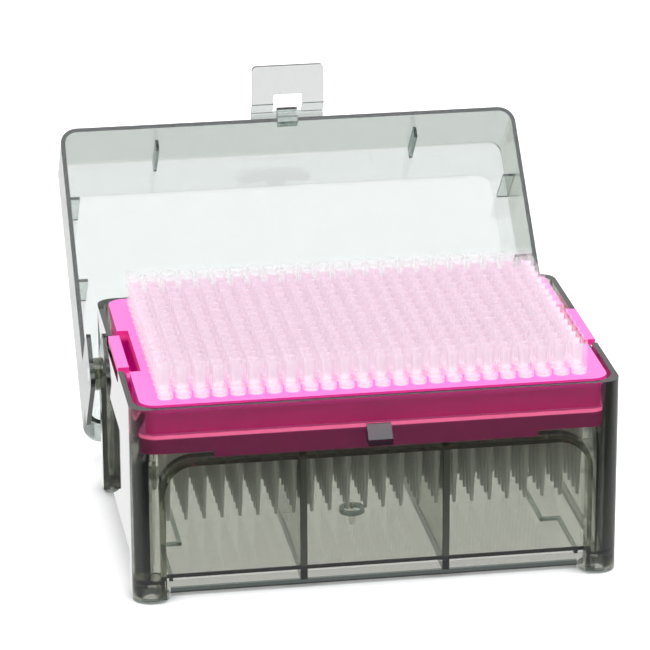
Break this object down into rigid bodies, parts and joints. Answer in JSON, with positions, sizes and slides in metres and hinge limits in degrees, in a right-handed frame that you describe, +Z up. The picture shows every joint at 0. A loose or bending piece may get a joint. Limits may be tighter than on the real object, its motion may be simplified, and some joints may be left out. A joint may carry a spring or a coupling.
{
  "type": "pipette tip box",
  "caption": "Hinged clear plastic box holding rows of small pipette tips upright in a drop-in rack, lid standing open with its latch.",
  "frame": {"origin": "on the table under the middle of the base", "axes": "+Z up, -Y towards the front with the latch, +X to the right seen from the front"},
  "size_m": [0.1278, 0.1634, 0.0933],
  "materials": {
    "smoke_clear": "polished clear moulding, smoke tinted",
    "pink": "smooth opaque moulding",
    "tip_clear": "satin natural moulding"
  },
  "bodies": {
    "base": {"base_box": "smoke_clear", "tip_rack": "pink", "tip_row_a": "tip_clear", "tip_row_b": "tip_clear", "tip_row_c": "tip_clear", "tip_row_d": "tip_clear", "tip_row_e": "tip_clear", "tip_row_f": "tip_clear", "tip_row_g": "tip_clear", "tip_row_h": "tip_clear", "tip_row_i": "tip_clear", "tip_row_j": "tip_clear", "tip_row_k": "tip_clear", "tip_row_l": "tip_clear", "tip_row_m": "tip_clear", "tip_row_n": "tip_clear", "tip_row_o": "tip_clear", "tip_row_p": "tip_clear"},
    "lid": {"lid": "smoke_clear"},
    "latch": {"latch": "smoke_clear"}
  },
  "joints": [
    {"name": "lid_hinge", "type": "hinge", "parent": "base", "child": "lid", "pos_m": [0, 0.0381, 0.0316], "axis": [1, 0, 0], "range_deg": [0, 136.4]},
    {"name": "latch_hinge", "type": "hinge", "parent": "lid", "child": "latch", "pos_m": [0, 0.10891, 0.07832], "axis": [1, 0, 0], "range_deg": [-128, 43.6]}
  ]
}
